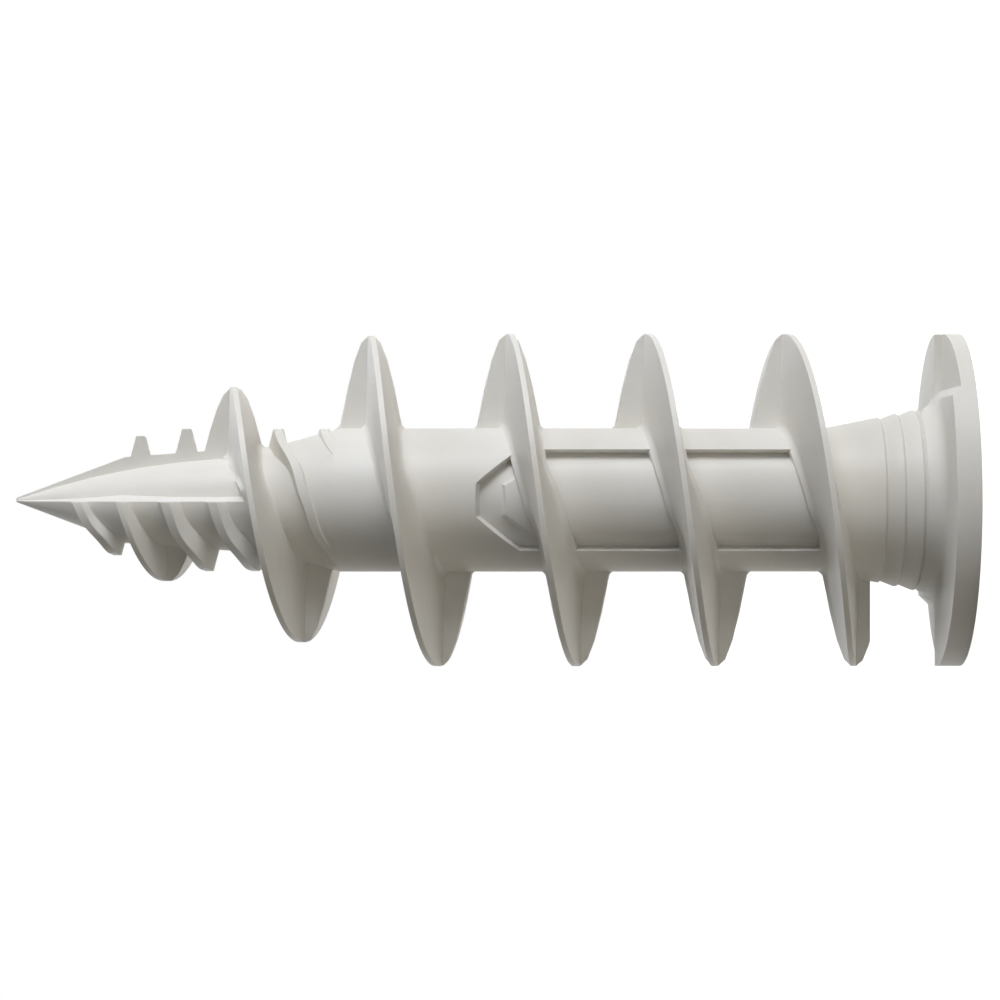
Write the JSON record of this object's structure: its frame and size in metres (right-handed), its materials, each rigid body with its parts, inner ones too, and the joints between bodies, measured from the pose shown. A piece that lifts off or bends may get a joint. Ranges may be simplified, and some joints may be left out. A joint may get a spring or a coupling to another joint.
{
  "type": "insulation anchor",
  "caption": "Screw-in nylon anchor for foam board: flat flange, barbed neck, round shank with one deep thin helical flight, and a tapered point with small threads.",
  "frame": {"origin": "centre of the flange's flat outer face", "axes": "+Z along the anchor's axis from the flange to the point; the mould's parting plane is y = 0, and the mould opens along Y"},
  "size_m": [0.0192, 0.0192, 0.0546],
  "materials": {
    "nylon": "off-white moulded nylon with a fine matt grain and a soft sheen"
  },
  "bodies": {
    "root": {"anchor_body": "nylon"}
  },
  "joints": []
}
